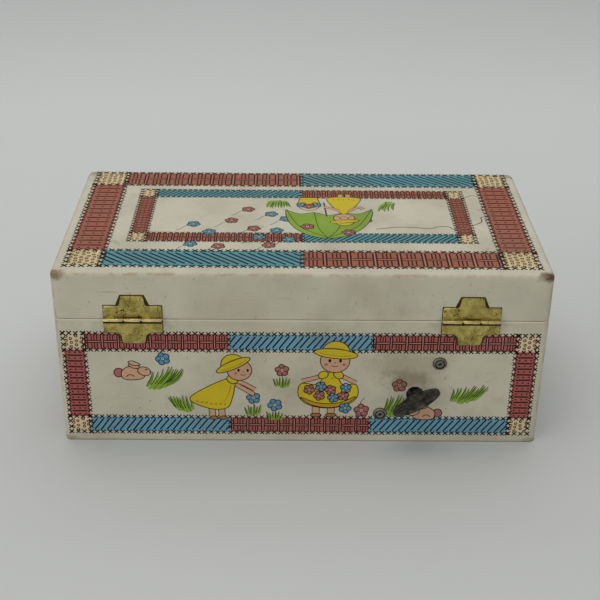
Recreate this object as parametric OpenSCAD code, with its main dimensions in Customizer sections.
// Musical jewellery box: a paper-covered wooden case with a hinged lid, a winding key at the
// back, a plucked-comb movement inside and a doll that rises and turns when the lid opens.
// The front, with the catch, faces -Y. The hinges and the key are on the back, at +Y.

/* [Box] */
// Width of the closed box, left to right
box_w = 240; // [232:1:250]
// Depth of the closed box, front to back
box_d = 127.6; // [126:0.2:132]
// Height of the closed box
box_h = 95.4; // [95:0.2:100]
// Height of the case's rim, where the lid meets it
rim_z = 70.4; // [70:0.2:72]
// Thickness of the side boards
board_t = 5; // [4.5:0.5:5.5]
// Thickness of the floor board and of the lid's top panel
panel_t = 3; // [2.5:0.5:3]
// Thickness of the covering paper
paper_t = 0.4; // [0.3:0.1:0.5]
// Rounding of the upright corners
corner_r = 3.5; // [2.5:0.5:4]
// Rounding of the lid's top edges
edge_r = 2; // [1.5:0.5:2.5]

/* [Hinges] */
// Distance of each hinge's middle from the middle of the box
hinge_x = 81.6; // [60:0.2:95]
// Width of a hinge
hinge_w = 28; // [26:1:32]
// Reach of a leaf's arms above and below the pin
arm_reach = 7.4; // [6:0.2:8]
// Reach of a leaf's tongue above and below the pin
tongue_reach = 12.9; // [11:0.1:14]
// Thickness of the leaves
leaf_t = 0.8; // [0.6:0.1:1]
// Radius of the hinge pin
pin_r = 0.75; // [0.7:0.05:0.8]
// Radius of the knuckles
knuckle_r = 1.45; // [1.4:0.05:1.6]

/* [Winding key] */
// Sideways place of the key's shaft
key_x = -56.7; // [-60:0.1:-54]
// Height of the key's shaft
key_z = 28.7; // [28:0.1:30]
// Radius of the hole that the key's shaft comes out of
key_hole_r = 4.4; // [3.5:0.1:5]
// Span of the key's wing
wing_l = 26; // [20:1:28]
// Reach of the key's wing along its shaft
wing_w = 12.5; // [10:0.5:14]
// Thickness of the key's wing
wing_t = 1.7; // [1.2:0.1:2]
// Tilt of the wing from the level
wing_tilt = 31; // [0:1:90]

/* [Movement] */
// Number of comb teeth, and of tracks on the cylinder
comb_teeth = 18; // [12:1:18]
// Radius of the music cylinder
cylinder_r = 6.4; // [6:0.1:6.4]
// Radius of the mainspring's drum
drum_r = 10; // [9:0.5:10]

/* [Doll] */
// Radius of the doll's skirt
skirt_r = 15; // [12:0.5:16]
// How far the doll is folded forward under the closed lid
fold_deg = 60; // [50:1:62]

/* [Inside] */
// Height of the stage's top
stage_z = 53; // [53:0.5:55]
// Depth of the stage, from the back board to its front wall
stage_d = 50.4; // [48:0.2:54]
// Sideways place of the divider's left face
divider_x = -20; // [-24:1:-16]

/* [Hidden] */

$fn = 64;
cut = 1;                // how far a cutter runs past what it cuts
slip = 0.05;            // radial clearance of a shaft that turns or slides in its bore
seat = 0.02;            // radial clearance of a piece fixed in its hole

cream = [0.80, 0.78, 0.70];
pulp_board = [0.66, 0.52, 0.36];
satin = [0.76, 0.30, 0.36];
brass = [0.70, 0.58, 0.26];
steel = [0.62, 0.62, 0.62];
dark_metal = [0.30, 0.30, 0.31];
zinc = [0.55, 0.55, 0.56];

// the boards, inside the paper
wood_w = box_w - 2 * paper_t;
wood_d = box_d - 2 * paper_t;
wood_r = corner_r - paper_t;
in_x = wood_w / 2 - board_t;
in_y = wood_d / 2 - board_t;
floor_z = paper_t + panel_t;
lid_gap = 0.4;
lid_z = rim_z + lid_gap;
panel_z = box_h - paper_t - panel_t;
lining_t = 0.6;
ceiling_z = panel_z - lining_t;

// the hinges
pin_stand_off = knuckle_r + 0.3;
pin_y = box_d / 2 + pin_stand_off;
pin_z = rim_z + lid_gap / 2;
knuckle_gap = 0.2;
knuckle_clear = knuckle_r + 0.35;
middle_knuckle = 0.3 * hinge_w;
tongue_root_w = 15.6;

// the movement, which stands on its bedplate against the back board
bed_t = 3;
bed_y = in_y - bed_t;
bed_x0 = key_x - 34.7;
bed_x1 = key_x + 21.2;
bed_z0 = 8;
bed_z1 = 50.5;
screw_spots = [[key_x - 11.3, key_z + 17.9], [key_x + 17, key_z - 11.8]];
mount_screw_r = 1.2;
arbor_r = 2;
drum_h = 9;
drum_wall = 0.8;
drum_y = bed_y - drum_h;

// peg wheels and the pinion that they drive: equal spacing along the pitch circles
peg_pitch = 2.0944;
peg_r = 0.3;
peg_h = 1.5;
peg_disc_t = 2;
peg_rim = 0.8;
great_teeth = 24;
pinion_teeth = 18;
spindle_teeth = 14;
great_r = great_teeth * peg_pitch / (2 * PI);
pinion_r = pinion_teeth * peg_pitch / (2 * PI);
spindle_r = spindle_teeth * peg_pitch / (2 * PI);
pinion_tip_r = pinion_r + 0.7;
pinion_root_r = pinion_r - 1.2;
peg_disc_gap = 0.3;
great_y = drum_y - 0.5 - peg_disc_t;

// spur gears of the governor train
gear_m = 0.5;
cylinder_teeth = 26;
governor_pinion_teeth = 10;
governor_teeth = 28;
fly_teeth = 10;
gear_t = 1.2;

// places of the train's axes, which run along X
cyl_y = great_y - peg_disc_gap - pinion_tip_r;
cyl_z = key_z;
gov_y = cyl_y + 0.6 * gear_m * (cylinder_teeth + governor_pinion_teeth) / 2;
gov_z = cyl_z - 0.8 * gear_m * (cylinder_teeth + governor_pinion_teeth) / 2;
fly_y = gov_y - 0.8 * gear_m * (governor_teeth + fly_teeth) / 2;
fly_z = gov_z - 0.6 * gear_m * (governor_teeth + fly_teeth) / 2;
gov_angle = atan2(gov_z - cyl_z, gov_y - cyl_y);
fly_angle = atan2(fly_z - gov_z, fly_y - gov_y);
cyl_arbor_r = 1;
gov_arbor_r = 0.8;
fly_arbor_r = 0.7;
pinion_x = key_x - great_r;
cyl_x1 = pinion_x - 2.6;
track = 0.9;
cyl_x0 = cyl_x1 - (comb_teeth + 1) * track;
cyl_gear_x = cyl_x0 - 2;
gov_gear_x = cyl_gear_x - 2.3;
frame_x = gov_gear_x - 1.8;
arm_x = pinion_x + 0.9;
arm_t = 1.4;
pin_h = 0.8;
tip_gap = 0.12;

// the doll on its spindle
spindle_x = pinion_x + spindle_r;
spindle_y = cyl_y;
spindle_rod_r = 1;
wheel_z = cyl_z + pinion_tip_r + peg_disc_gap;
bush_r = 2.5;
coil_r = 1.8;
wire_r = 0.25;
coil_turns = 7;
spring_z = stage_z + 1.1;
bend_reach = 3.9;
pivot_z = spring_z + bend_reach;
bend_r = bend_reach / tan(fold_deg / 2);

// the stop lever
stop_x = -108;
stop_y = 25;
stop_top_z = 65.7;
stop_rod_r = 0.8;
finger_x = cyl_x0 + 4;
fly_vane_r = 4.5;

// ---------------------------------------------------------------- helpers

module rod_x(x0, x1, y, z, r) {
    translate([x0, y, z]) rotate([0, 90, 0]) cylinder(h = x1 - x0, r = r);
}

module rod_y(x, y0, y1, z, r) {
    translate([x, y0, z]) rotate([-90, 0, 0]) cylinder(h = y1 - y0, r = r);
}

module block(from, to) {
    translate(from) cube(to - from);
}

// a flat outline drawn in (Y, Z) and extruded along X
module across_x(x0, t) {
    translate([x0, 0, 0]) rotate([90, 0, 90]) linear_extrude(t) children();
}

// a flat outline drawn in (X, Z) and extruded towards +Y
module along_y(y0, t) {
    translate([0, y0 + t, 0]) rotate([90, 0, 0]) linear_extrude(t) children();
}

module rounded_rect(w, d, r) {
    square([w - 2 * r, d], center = true);
    square([w, d - 2 * r], center = true);
    for (sx = [-1, 1], sy = [-1, 1])
        translate([sx * (w / 2 - r), sy * (d / 2 - r)]) circle(r);
}

// a bar with rounded upper corners, standing on z0
module rounded_profile(w, z0, z1, r) {
    translate([-w / 2, z0]) square([w, z1 - z0 - r]);
    translate([-w / 2 + r, z0]) square([w - 2 * r, z1 - z0]);
    for (s = [-1, 1])
        translate([s * (w / 2 - r), z1 - r]) circle(r);
}

// a slab with rounded upright corners and rounded top edges
module slab(w, d, z0, z1, upright_r, top_r) {
    intersection() {
        translate([0, 0, z0]) linear_extrude(z1 - z0) rounded_rect(w, d, upright_r);
        along_y(-d, 2 * d) rounded_profile(w, z0, z1, top_r);
        across_x(-w, 2 * w) rounded_profile(d, z0, z1, top_r);
    }
}

// angle between a tooth's middle and its flank at radius r, for an involute gear
function involute(a) = tan(a) * 180 / PI - a;
function flank(teeth, r, play) =
    let (pitch_r = gear_m * teeth / 2, base_r = pitch_r * cos(20))
    90 / teeth - play / pitch_r * 180 / PI + involute(20)
        - (r > base_r ? involute(acos(base_r / r)) : 0);

// one spur gear's outline, with a tooth at angle 0
module gear_outline(teeth, play = 0.06) {
    pitch_r = gear_m * teeth / 2;
    base_r = pitch_r * cos(20);
    radii = [pitch_r - 1.2 * gear_m, max(base_r, pitch_r - 0.6 * gear_m),
             pitch_r, pitch_r + 0.4 * gear_m, pitch_r + 0.8 * gear_m];
    polygon([for (i = [0 : teeth - 1]) each concat(
        [for (r = radii) let (a = i * 360 / teeth - flank(teeth, r, play))
            [r * cos(a), r * sin(a)]],
        [for (k = [4 : -1 : 0]) let (r = radii[k], a = i * 360 / teeth + flank(teeth, r, play))
            [r * cos(a), r * sin(a)]])]);
}

// thin teeth that run between pegs
module blade_outline() {
    root_w = 0.5;
    tip_w = 0.2;
    circle(pinion_root_r);
    for (i = [0 : pinion_teeth - 1])
        rotate(i * 360 / pinion_teeth)
            polygon([[pinion_root_r - 0.3, -root_w], [pinion_r, -0.24], [pinion_tip_r, -tip_w],
                     [pinion_tip_r, tip_w], [pinion_r, 0.24], [pinion_root_r - 0.3, root_w]]);
}

// a disc at z = 0 with a ring of pegs standing on it
module peg_wheel(teeth, r, disc_t, bore_r, first) {
    difference() {
        union() {
            translate([0, 0, -disc_t]) cylinder(h = disc_t, r = r + peg_rim);
            for (i = [0 : teeth - 1])
                rotate(first + i * 360 / teeth)
                    translate([r, 0, -cut / 2]) cylinder(h = peg_h + cut / 2, r = peg_r, $fn = 16);
        }
        translate([0, 0, -disc_t - cut]) cylinder(h = disc_t + 2 * cut, r = bore_r);
    }
}

// a hinge leaf's plate, above the pin: two arms and a tongue with a filleted root
module leaf_outline() {
    arm = hinge_w / 2;
    arm_round = 0.8;
    tip = 5.5;
    tip_round = 1;
    fillet = 1.5;
    root = tongue_root_w / 2 - fillet;
    translate([-arm, 0.4]) square([hinge_w, arm_reach - 0.4 - arm_round]);
    translate([-arm + arm_round, 0.4]) square([hinge_w - 2 * arm_round, arm_reach - 0.4]);
    for (s = [-1, 1]) {
        translate([s * (arm - arm_round), arm_reach - arm_round]) circle(arm_round, $fn = 32);
        translate([s * (tip - tip_round), tongue_reach - tip_round]) circle(tip_round, $fn = 32);
        difference() {
            translate([s * (root + fillet / 2), arm_reach + fillet / 2])
                square(fillet, center = true);
            translate([s * (root + fillet), arm_reach + fillet]) circle(fillet, $fn = 32);
        }
    }
    polygon([[-root, arm_reach - 1], [-root, arm_reach], [-tip, tongue_reach - tip_round],
             [tip, tongue_reach - tip_round], [root, arm_reach], [root, arm_reach - 1]]);
    translate([-tip + tip_round, arm_reach])
        square([2 * (tip - tip_round), tongue_reach - arm_reach]);
}

// cuts the outer edge of an arm's end to a quarter round, where it bends in to its prongs
module arm_end_cutter() {
    difference() {
        translate([-hinge_w / 2 - cut, box_d / 2, arm_reach - leaf_t])
            cube([hinge_w + 2 * cut, leaf_t + cut, leaf_t + cut]);
        rod_x(-hinge_w / 2 - 2 * cut, hinge_w / 2 + 2 * cut, box_d / 2, arm_reach - leaf_t, leaf_t);
        translate([-tongue_root_w / 2, 0, 0]) cube([tongue_root_w, box_d, arm_reach + 2 * cut]);
    }
}

// one leaf with its knuckles; up is 1 for the lid's leaf and -1 for the case's leaf
module hinge_leaf(x, up) {
    outer = up > 0;
    own = outer ? [[-hinge_w / 2, -middle_knuckle / 2 - knuckle_gap],
                   [middle_knuckle / 2 + knuckle_gap, hinge_w / 2]]
                : [[-middle_knuckle / 2, middle_knuckle / 2]];
    other = outer ? [[-middle_knuckle / 2 - knuckle_gap, middle_knuckle / 2 + knuckle_gap]]
                  : [[-hinge_w / 2 - cut, -middle_knuckle / 2],
                     [middle_knuckle / 2, hinge_w / 2 + cut]];
    bore = outer ? pin_r + slip : pin_r + seat;
    translate([x, 0, pin_z]) mirror([0, 0, outer ? 0 : 1])
        difference() {
            union() {
                along_y(box_d / 2, leaf_t) leaf_outline();
                for (k = own) {
                    rod_x(k[0], k[1], pin_y, 0, knuckle_r);
                    block([k[0], box_d / 2, 0.4], [k[1], pin_y - pin_r, 1]);
                }
            }
            for (k = other)
                rod_x(k[0], k[1], pin_y, 0, knuckle_clear);
            rod_x(-hinge_w / 2 - cut, hinge_w / 2 + cut, pin_y, 0, bore);
            arm_end_cutter();
        }
}

// a helix wound on the bent middle line between the spindle and the doll
function bend_point(a) = [0, -bend_r * (1 - cos(a)), bend_r * sin(a)];
function bend_out(a) = [0, cos(a), sin(a)];
function bend_along(a) = [0, -sin(a), cos(a)];
function coil_dir(a, turn) = cos(turn) * bend_out(a) + sin(turn) * [1, 0, 0];

module bent_coil() {
    steps = coil_turns * 14;
    sides = 6;
    points = [for (i = [0 : steps]) let (a = fold_deg * i / steps,
                                         out = coil_dir(a, 360 * coil_turns * i / steps))
              for (k = [0 : sides - 1]) let (s = 360 * k / sides)
                  bend_point(a) + (coil_r + wire_r * cos(s)) * out + wire_r * sin(s) * bend_along(a)];
    sides_faces = [for (i = [0 : steps - 1], k = [0 : sides - 1]) let (n = (k + 1) % sides)
                   [i * sides + k, i * sides + n, (i + 1) * sides + n, (i + 1) * sides + k]];
    first_cap = [for (k = [sides - 1 : -1 : 0]) k];
    last_cap = [for (k = [0 : sides - 1]) steps * sides + k];
    polyhedron(points, concat(sides_faces, [first_cap, last_cap]), convexity = 8);
}

module at_doll() {
    translate([spindle_x, spindle_y, pivot_z]) rotate([fold_deg, 0, 0]) children();
}

// ---------------------------------------------------------------- case

// a long board whose outer ends carry the box's rounded upright corners, at the back
module long_board(z0, z1) {
    translate([0, 0, z0]) linear_extrude(z1 - z0) {
        translate([-wood_w / 2 + wood_r, in_y]) square([wood_w - 2 * wood_r, board_t]);
        translate([-wood_w / 2, in_y]) square([wood_w, board_t - wood_r]);
        intersection() {
            translate([-wood_w / 2, in_y]) square([wood_w, board_t]);
            for (s = [-1, 1])
                translate([s * (wood_w / 2 - wood_r), wood_d / 2 - wood_r]) circle(wood_r);
        }
    }
}

module side_board(side, z0, z1) {
    x = side > 0 ? in_x : -in_x - board_t;
    block([x, -in_y, z0], [x + board_t, in_y, z1]);
}

module floor_board() {
    color(pulp_board) block([-in_x, -in_y, paper_t], [in_x, in_y, floor_z]);
}

module front_board() {
    color(pulp_board) mirror([0, 1, 0]) long_board(paper_t, rim_z);
}

module back_openings() {
    rod_y(key_x, in_y - cut, box_d / 2 + cut, key_z, key_hole_r);
    for (s = screw_spots)
        rod_y(s[0], in_y - cut, box_d / 2 + cut, s[1], mount_screw_r + seat);
}

module back_board() {
    color(pulp_board) difference() {
        long_board(paper_t, rim_z);
        back_openings();
    }
}

module left_board() {
    color(pulp_board) side_board(-1, paper_t, rim_z);
}

module right_board() {
    color(pulp_board) side_board(1, paper_t, rim_z);
}

module case_paper() {
    color(cream) difference() {
        translate([0, 0, paper_t]) linear_extrude(rim_z - paper_t) difference() {
            rounded_rect(box_w, box_d, corner_r);
            rounded_rect(wood_w, wood_d, wood_r);
        }
        back_openings();
    }
}

module base_sheet() {
    color(cream) linear_extrude(paper_t) rounded_rect(box_w, box_d, corner_r);
}

module wall_lining() {
    color(satin) difference() {
        block([-in_x, -in_y, floor_z], [in_x, in_y, rim_z - 0.4]);
        block([-in_x + lining_t, -in_y + lining_t, floor_z - cut],
              [in_x - lining_t, in_y - lining_t, rim_z + cut]);
        block([-in_x - cut, in_y - stage_d, floor_z - cut], [divider_x, in_y + cut, stage_z]);
    }
}

module floor_pad(x0, y0, x1, y1) {
    pad_t = 1.4;
    color(satin) block([x0, y0, floor_z], [x1, y1, floor_z + pad_t]);
}

divider_t = 2;

module right_floor_pad() {
    floor_pad(divider_x + divider_t, -in_y + lining_t, in_x - lining_t, in_y - lining_t);
}

module front_floor_pad() {
    floor_pad(-in_x + lining_t, -in_y + lining_t, divider_x, in_y - stage_d - divider_t);
}

module divider() {
    color(satin) block([divider_x, -in_y + lining_t, floor_z],
                       [divider_x + divider_t, in_y - lining_t, stage_z]);
}

module stage_front_wall() {
    y = in_y - stage_d - divider_t;
    color(satin) block([-in_x + lining_t, y, floor_z], [divider_x, y + divider_t, stage_z]);
}

module stage_platform() {
    rod_hole_r = 1.5;
    platform_t = 2;
    color(satin) difference() {
        block([-in_x, in_y - stage_d, stage_z - platform_t], [divider_x, in_y, stage_z]);
        translate([spindle_x, spindle_y, 0]) cylinder(h = box_h, r = bush_r + seat);
        translate([stop_x, stop_y, 0]) cylinder(h = box_h, r = rod_hole_r);
    }
}

// padded rolls that hold rings between them
module ring_rolls() {
    roll_w = 8;
    roll_h = 12;
    rolls = 4;
    x0 = -in_x + lining_t + 0.4;
    color(satin) for (i = [0 : rolls - 1])
        translate([x0 + i * (roll_w + 0.3), in_y - stage_d - divider_t - 0.4, floor_z + 1.5])
            rotate([90, 0, 0]) linear_extrude(2 * in_y - stage_d - divider_t - lining_t - 0.8) {
                square([roll_w, roll_h - roll_w / 2]);
                translate([roll_w / 2, roll_h - roll_w / 2]) circle(roll_w / 2);
            }
}

// ---------------------------------------------------------------- hinges and catch

module left_hinge_case_leaf() {
    color(brass) hinge_leaf(-hinge_x, -1);
}

module right_hinge_case_leaf() {
    color(brass) hinge_leaf(hinge_x, -1);
}

module left_hinge_lid_leaf() {
    color(brass) hinge_leaf(-hinge_x, 1);
}

module right_hinge_lid_leaf() {
    color(brass) hinge_leaf(hinge_x, 1);
}

module hinge_pins() {
    color(steel) for (s = [-1, 1])
        rod_x(s * hinge_x - hinge_w / 2, s * hinge_x + hinge_w / 2, pin_y, pin_z, pin_r);
}

catch_w = 14;
catch_t = 0.6;

// plate on the case with a low bead, and a tab on the lid that slips down over it
module catch_plate() {
    color(brass) {
        along_y(-box_d / 2 - catch_t, catch_t)
            translate([0, rim_z - 8]) rounded_rect(catch_w, 14, 1.5);
        intersection() {
            translate([0, -box_d / 2 - catch_t + 1.6, rim_z - 9]) sphere(2);
            block([-3, -box_d / 2 - 2, rim_z - 12], [3, -box_d / 2 - catch_t / 2, rim_z - 6]);
        }
    }
}

module catch_tongue() {
    tab_y = -box_d / 2 - catch_t - 0.5;
    color(brass) {
        along_y(tab_y - catch_t, catch_t)
            translate([0, rim_z - 5.5]) rounded_rect(catch_w - 3, 15, 2);
        block([-catch_w / 2 + 1.5, tab_y - catch_t, lid_z + 0.6],
              [catch_w / 2 - 1.5, -box_d / 2, lid_z + 1.4]);
        along_y(-box_d / 2 - catch_t, catch_t)
            translate([0, lid_z + 6.1]) rounded_rect(catch_w, 11, 1.5);
    }
}

// ---------------------------------------------------------------- movement

module movement_bedplate() {
    comb_y = cyl_y + 0.5;
    color(zinc) difference() {
        union() {
            along_y(bed_y, bed_t)
                translate([(bed_x0 + bed_x1) / 2, (bed_z0 + bed_z1) / 2])
                    rounded_rect(bed_x1 - bed_x0, bed_z1 - bed_z0, 2);
            block([cyl_x0 - 2.5, comb_y, bed_z1 - 5.5], [cyl_x1 + 1.3, bed_y + cut, bed_z1]);
            block([arm_x, cyl_y - 4.5, bed_z0], [arm_x + arm_t, cyl_y + 4.1, cyl_z + 2.8]);
            block([arm_x, cyl_y - 4.5, bed_z0], [arm_x + arm_t, bed_y + cut, bed_z0 + 3]);
        }
        rod_y(key_x, bed_y - cut, in_y + cut, key_z, arbor_r + slip);
        rod_x(arm_x - cut, arm_x + arm_t + cut, cyl_y, cyl_z, cyl_arbor_r + slip);
        rod_x(arm_x - cut, arm_x + arm_t + cut, fly_y, fly_z, fly_arbor_r + slip);
        for (s = screw_spots)
            rod_y(s[0], bed_y - cut, in_y + cut, s[1], mount_screw_r + seat);
        for (x = comb_screw_x)
            rod_y(x, comb_y - cut, comb_y + 6, bed_z1 - 2.7, comb_screw_r + seat);
    }
}

comb_screw_r = 0.9;
comb_screw_x = [cyl_x0 + 3.5, cyl_x1 - 3.5];

module spring_drum() {
    color(brass) difference() {
        rod_y(key_x, drum_y, bed_y, key_z, drum_r);
        rod_y(key_x, drum_y + drum_wall, bed_y + cut, key_z, drum_r - drum_wall);
        rod_y(key_x, drum_y - cut, bed_y, key_z, arbor_r + slip);
    }
}

module mainspring() {
    turns = 5;
    steps = turns * 18;
    strip_t = 0.35;
    r0 = arbor_r + 0.3;
    r1 = drum_r - drum_wall - 0.5;
    function spot(i, side) = let (r = r0 + (r1 - r0) * i / steps + side, a = 360 * turns * i / steps)
        [key_x + r * cos(a), key_z + r * sin(a)];
    color(steel) along_y(drum_y + drum_wall + 0.8, drum_h - drum_wall - 1.4)
        polygon(concat([for (i = [0 : steps]) spot(i, 0)],
                       [for (i = [steps : -1 : 0]) spot(i, strip_t)]));
}

// comb: a steel plate whose teeth hang down to just above the cylinder's pins
module comb() {
    tip_z = cyl_z + cylinder_r + pin_h + tip_gap;
    root_z = bed_z1 - 6;
    slot = 0.25;
    x0 = cyl_x0 + track / 2;
    color(steel) difference() {
        block([x0, cyl_y - 0.5, tip_z], [x0 + comb_teeth * track, cyl_y + 0.5, bed_z1]);
        for (i = [1 : comb_teeth - 1])
            block([x0 + i * track - slot / 2, cyl_y - cut, tip_z - cut],
                  [x0 + i * track + slot / 2, cyl_y + cut, root_z]);
        for (x = comb_screw_x)
            rod_y(x, cyl_y - cut, cyl_y + cut, bed_z1 - 2.7, comb_screw_r + seat);
    }
}

module comb_screws() {
    head_h = 1.2;
    color(steel) for (x = comb_screw_x)
        difference() {
            union() {
                rod_y(x, cyl_y - 0.5 - head_h, cyl_y - 0.5, bed_z1 - 2.7, 1.9);
                rod_y(x, cyl_y - 0.6, cyl_y + 5, bed_z1 - 2.7, comb_screw_r);
            }
            translate([x, cyl_y - 0.5 - head_h, bed_z1 - 2.7]) cube([5, 0.8, 0.5], center = true);
        }
}

// a folded plate that carries the governor's arbors beside the cylinder
module governor_frame() {
    plate_t = 1;
    lug_x = cyl_x0 + 0.4;
    color(brass) difference() {
        union() {
            block([frame_x, cyl_y - 5.5, bed_z0 + 4], [frame_x + plate_t, bed_y, cyl_z + 4]);
            block([frame_x, bed_y - plate_t, bed_z0 + 4], [lug_x + plate_t, bed_y, cyl_z + 4]);
            block([lug_x, gov_y, gov_z - 1.6], [lug_x + plate_t, bed_y, gov_z + 1.6]);
            rod_x(lug_x, lug_x + plate_t, gov_y, gov_z, 1.6);
        }
        rod_x(frame_x - cut, frame_x + plate_t + cut, cyl_y, cyl_z, cyl_arbor_r + slip);
        rod_x(frame_x - cut, frame_x + plate_t + cut, fly_y, fly_z, fly_arbor_r + slip);
        rod_x(frame_x - cut, frame_x + plate_t + cut, gov_y, gov_z, gov_arbor_r + slip);
        rod_x(lug_x - cut, lug_x + plate_t + cut, gov_y, gov_z, gov_arbor_r + slip);
    }
}

washer_r = 3.55;

// screws through the back board into the bedplate, seen as sunk heads in cup washers
module mounting_screws() {
    head_r = 2.1;
    color(steel) for (s = screw_spots)
        translate([s[0], 0, s[1]]) difference() {
            union() {
                rod_y(0, bed_y + 0.3, box_d / 2 + 0.6, 0, mount_screw_r);
                rod_y(0, box_d / 2 + 0.02, box_d / 2 + 0.9, 0, head_r);
            }
            translate([0, box_d / 2 + 0.9, 0]) rotate([0, 35, 0]) cube([6, 0.9, 0.6], center = true);
        }
}

module cup_washers() {
    lip_r = 2.2;
    color(brass) for (s = screw_spots)
        translate([s[0], box_d / 2, s[1]]) rotate([-90, 0, 0]) rotate_extrude()
            polygon([[lip_r + 0.1, 0], [washer_r, 0], [washer_r, 0.25], [washer_r - 0.7, 0.9],
                     [lip_r + 0.7, 1.25], [lip_r + 0.35, 1.2], [lip_r + 0.1, 0.7]]);
}

module winding_key() {
    hub_r = 3;
    hub_y0 = box_d / 2 + 0.6;
    hub_y1 = box_d / 2 + 5.4;
    wing_y = box_d / 2 + 1.6 + wing_w / 2;
    color(dark_metal) translate([key_x, 0, key_z]) difference() {
        union() {
            rod_y(0, hub_y0, hub_y1, 0, hub_r);
            translate([0, wing_y, 0]) rotate([0, wing_tilt, 0])
                translate([0, 0, -wing_t / 2]) linear_extrude(wing_t)
                    polygon([for (a = [0 : 6 : 354])
                        [wing_l / 2 * cos(a), wing_w / 2 * sin(a)]]);
        }
        rod_y(0, hub_y0 - cut, hub_y1 - 1, 0, arbor_r + seat);
    }
}

module winding_arbor() {
    color(steel) rod_y(key_x, great_y - 0.8, box_d / 2 + 4.4, key_z, arbor_r);
}

module great_wheel() {
    color(brass) translate([key_x, great_y, key_z]) rotate([90, 0, 0])
        peg_wheel(great_teeth, great_r, peg_disc_t, arbor_r + seat, 180 / great_teeth);
}

module music_cylinder() {
    color(brass) {
        rod_x(cyl_x0, cyl_x1, cyl_y, cyl_z, cylinder_r);
        rod_x(frame_x, arm_x + arm_t, cyl_y, cyl_z, cyl_arbor_r);
    }
}

// three pins on each track, spread round the cylinder by a fixed turn
module cylinder_pins() {
    per_track = 3;
    turn = 47;
    color(steel) for (i = [0 : comb_teeth - 1], k = [0 : per_track - 1])
        translate([cyl_x0 + (i + 1) * track, cyl_y, cyl_z])
            rotate([i * turn + k * 360 / per_track + 11, 0, 0])
                translate([0, 0, cylinder_r]) cylinder(h = pin_h, r = 0.22, $fn = 16);
}

module cylinder_pinion() {
    color(brass) difference() {
        across_x(pinion_x - gear_t / 2, gear_t) translate([cyl_y, cyl_z]) blade_outline();
        rod_x(pinion_x - cut, pinion_x + cut, cyl_y, cyl_z, cyl_arbor_r + seat);
    }
}

module cylinder_gear() {
    color(brass) difference() {
        across_x(cyl_gear_x, gear_t)
            translate([cyl_y, cyl_z]) rotate(gov_angle) gear_outline(cylinder_teeth);
        rod_x(cyl_gear_x - cut, cyl_gear_x + gear_t + cut, cyl_y, cyl_z, cyl_arbor_r + seat);
    }
}

module governor_wheel() {
    phase = gov_angle + 180 - 180 / governor_pinion_teeth;
    color(brass) {
        across_x(gov_gear_x, gear_t)
            translate([gov_y, gov_z]) rotate(fly_angle) gear_outline(governor_teeth);
        across_x(cyl_gear_x, gear_t)
            translate([gov_y, gov_z]) rotate(phase) gear_outline(governor_pinion_teeth);
        rod_x(frame_x, cyl_x0 + 1.4, gov_y, gov_z, gov_arbor_r);
    }
}

module fly_pinion() {
    phase = fly_angle + 180 - 180 / fly_teeth;
    color(brass) {
        across_x(gov_gear_x, gear_t)
            translate([fly_y, fly_z]) rotate(phase) gear_outline(fly_teeth);
        rod_x(frame_x, arm_x + arm_t, fly_y, fly_z, fly_arbor_r);
    }
}

module air_fly() {
    vane_t = 0.5;
    vane_x0 = cyl_x0 + 0.2;
    vane_x1 = cyl_x1 - 1.5;
    color(steel) difference() {
        union() {
            block([vane_x0, fly_y - fly_vane_r, fly_z - vane_t / 2],
                  [vane_x1, fly_y + fly_vane_r, fly_z + vane_t / 2]);
            rod_x(vane_x0, vane_x1, fly_y, fly_z, 1.2);
        }
        rod_x(vane_x0 - cut, vane_x1 + cut, fly_y, fly_z, fly_arbor_r + seat);
    }
}

// ---------------------------------------------------------------- doll

module dancer_spindle() {
    color(steel) translate([spindle_x, spindle_y, 0]) {
        translate([0, 0, wheel_z]) cylinder(h = spring_z - 0.5 - wheel_z, r = spindle_rod_r);
        translate([0, 0, spring_z - 0.7]) cylinder(h = 0.4, r = coil_r + wire_r + 0.2);
    }
}

module spindle_wheel() {
    disc_t = 1.5;
    color(brass) translate([spindle_x, spindle_y, wheel_z]) rotate([180, 0, 0])
        peg_wheel(spindle_teeth, spindle_r, disc_t, spindle_rod_r + seat, 180);
}

module spindle_bush() {
    bush_l = 8;
    color(brass) translate([spindle_x, spindle_y, stage_z + 0.3 - bush_l]) difference() {
        cylinder(h = bush_l, r = bush_r);
        translate([0, 0, -cut]) cylinder(h = bush_l + 2 * cut, r = spindle_rod_r + slip);
    }
}

module dancer_spring() {
    color(steel) translate([spindle_x, spindle_y, spring_z]) bent_coil();
}

ferrule_z = bend_reach + 0.3;
ferrule_h = 2.6;
peg_end_z = 12;
doll_foot_z = ferrule_z + ferrule_h + 0.2;

module dancer_ferrule() {
    color(brass) at_doll() translate([0, 0, ferrule_z]) difference() {
        cylinder(h = ferrule_h, r = 2.3);
        translate([0, 0, -cut]) cylinder(h = ferrule_h + 2 * cut, r = spindle_rod_r + slip);
    }
}

waist_z = 23.5;
hip_z = waist_z - 2.6;
shoulder_z = 34.5;

module dancer_body() {
    color([0.87, 0.70, 0.60]) at_doll() {
        translate([0, 0, ferrule_z]) cylinder(h = peg_end_z - ferrule_z, r = spindle_rod_r);
        translate([0, 0, doll_foot_z]) cylinder(h = 1, r = 2.6);
        for (s = [-1, 1])
            translate([s * 1.05, 0, doll_foot_z])
                cylinder(h = hip_z + 1 - doll_foot_z, r1 = 0.85, r2 = 1.5);
        translate([0, 0, hip_z]) rotate_extrude()
            polygon([[0, 0], [2.6, 0], [2.7, 1], [2.2, 1.9], [2.1, 3.2], [1.9, 4.4], [2.4, 7.2],
                     [2.8, 10], [2.6, 12], [1.3, 13.4], [1, 15.5], [0, 15.5]]);
    }
}

module dancer_head() {
    color([0.87, 0.70, 0.60]) at_doll() {
        translate([0, 0, 40.2]) sphere(3.5);
        translate([0, 0.9, 43.9]) sphere(1.5);
    }
}

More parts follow.
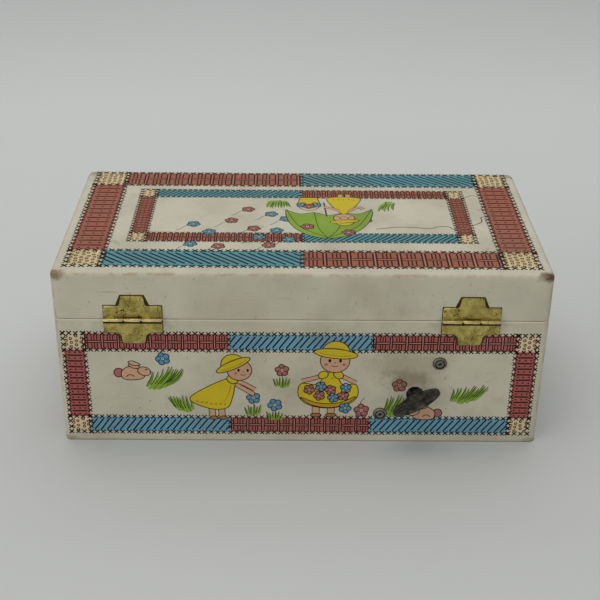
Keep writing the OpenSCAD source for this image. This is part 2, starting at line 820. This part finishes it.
module dancer_arms() {
    arm_ring_r = 7.6;
    arm_r = 0.85;
    gap = 24;
    color([0.87, 0.70, 0.60]) at_doll() translate([0, 0, shoulder_z + arm_ring_r])
        for (s = [0, 1])
            mirror([s, 0, 0]) rotate([90, 0, 0]) rotate([0, 0, -90 + gap])
                rotate_extrude(angle = 180 - gap - 10) translate([arm_ring_r, 0]) circle(arm_r);
}

module dancer_skirt() {
    color([0.90, 0.75, 0.80]) at_doll() translate([0, 0, waist_z]) rotate_extrude()
        polygon([[2.3, -0.6], [4.5, -0.9], [skirt_r - 4, -3.4], [skirt_r, -3.2], [skirt_r, -2.4],
                 [skirt_r - 4, 0.2], [4.5, 1.9], [2.3, 1.9]]);
}

// ---------------------------------------------------------------- stop lever

module stop_lever() {
    arm_r = 0.7;
    color(steel) {
        translate([stop_x, stop_y, fly_z]) cylinder(h = stop_top_z - fly_z, r = stop_rod_r);
        translate([stop_x, stop_y, fly_z]) sphere(stop_rod_r);
        rod_x(stop_x, finger_x, stop_y, fly_z, arm_r);
        translate([finger_x, stop_y, fly_z]) sphere(arm_r);
        rod_y(finger_x, stop_y, fly_y - fly_vane_r - 0.4, fly_z, arm_r);
    }
}

module stop_lever_guide() {
    half = 3;
    height = 8;
    top = stage_z - 2;
    color(pulp_board) difference() {
        block([stop_x - half, stop_y - half, top - height], [stop_x + half, stop_y + half, top]);
        translate([stop_x, stop_y, top - height - cut])
            cylinder(h = height + 2 * cut, r = stop_rod_r + slip);
    }
}

// ---------------------------------------------------------------- lid

module lid_top_panel() {
    color(pulp_board) slab(wood_w, wood_d, panel_z, box_h - paper_t, wood_r, edge_r - paper_t);
}

module lid_front_board() {
    color(pulp_board) mirror([0, 1, 0]) long_board(lid_z, panel_z);
}

module lid_back_board() {
    color(pulp_board) long_board(lid_z, panel_z);
}

module lid_left_board() {
    color(pulp_board) side_board(-1, lid_z, panel_z);
}

module lid_right_board() {
    color(pulp_board) side_board(1, lid_z, panel_z);
}

module lid_paper() {
    color(cream) difference() {
        slab(box_w, box_d, lid_z, box_h, corner_r, edge_r);
        slab(wood_w, wood_d, lid_z - cut, box_h - paper_t, wood_r, edge_r - paper_t);
    }
}

module lid_lining() {
    color(satin) difference() {
        block([-in_x, -in_y, lid_z + 0.4], [in_x, in_y, panel_z]);
        block([-in_x + lining_t, -in_y + lining_t, lid_z - cut],
              [in_x - lining_t, in_y - lining_t, ceiling_z]);
    }
}

mirror_w = 80;
mirror_h = 88;
mirror_t = 2;
mirror_rim = 3;

module mirror_shape(w, h) {
    translate([spindle_x, 0, 0]) linear_extrude(mirror_t) rounded_rect(w, h, 3);
}

module mirror_glass() {
    color([0.75, 0.80, 0.83]) translate([0, 0, ceiling_z - mirror_t])
        mirror_shape(mirror_w, mirror_h);
}

module mirror_frame() {
    frame_t = 3;
    color(brass) translate([spindle_x, 0, ceiling_z - frame_t]) linear_extrude(frame_t)
        difference() {
            rounded_rect(mirror_w + 2 * mirror_rim, mirror_h + 2 * mirror_rim, 3 + mirror_rim);
            rounded_rect(mirror_w + 2 * seat, mirror_h + 2 * seat, 3);
        }
}

module lid_stop_block() {
    half = 4;
    color(pulp_board) block([stop_x - half, stop_y - half, stop_top_z + 0.3],
                            [stop_x + half, stop_y + half, ceiling_z]);
}

floor_board();
front_board();
back_board();
left_board();
right_board();
case_paper();
base_sheet();
wall_lining();
right_floor_pad();
front_floor_pad();
divider();
stage_front_wall();
stage_platform();
ring_rolls();
left_hinge_case_leaf();
right_hinge_case_leaf();
hinge_pins();
catch_plate();
movement_bedplate();
spring_drum();
mainspring();
comb();
comb_screws();
governor_frame();
mounting_screws();
cup_washers();
spindle_bush();
stop_lever_guide();
winding_key();
winding_arbor();
great_wheel();
music_cylinder();
cylinder_pins();
cylinder_pinion();
cylinder_gear();
governor_wheel();
fly_pinion();
air_fly();
dancer_spindle();
spindle_wheel();
dancer_spring();
dancer_ferrule();
dancer_body();
dancer_head();
dancer_arms();
dancer_skirt();
stop_lever();
lid_top_panel();
lid_front_board();
lid_back_board();
lid_left_board();
lid_right_board();
lid_paper();
lid_lining();
mirror_glass();
mirror_frame();
left_hinge_lid_leaf();
right_hinge_lid_leaf();
catch_tongue();
lid_stop_block();
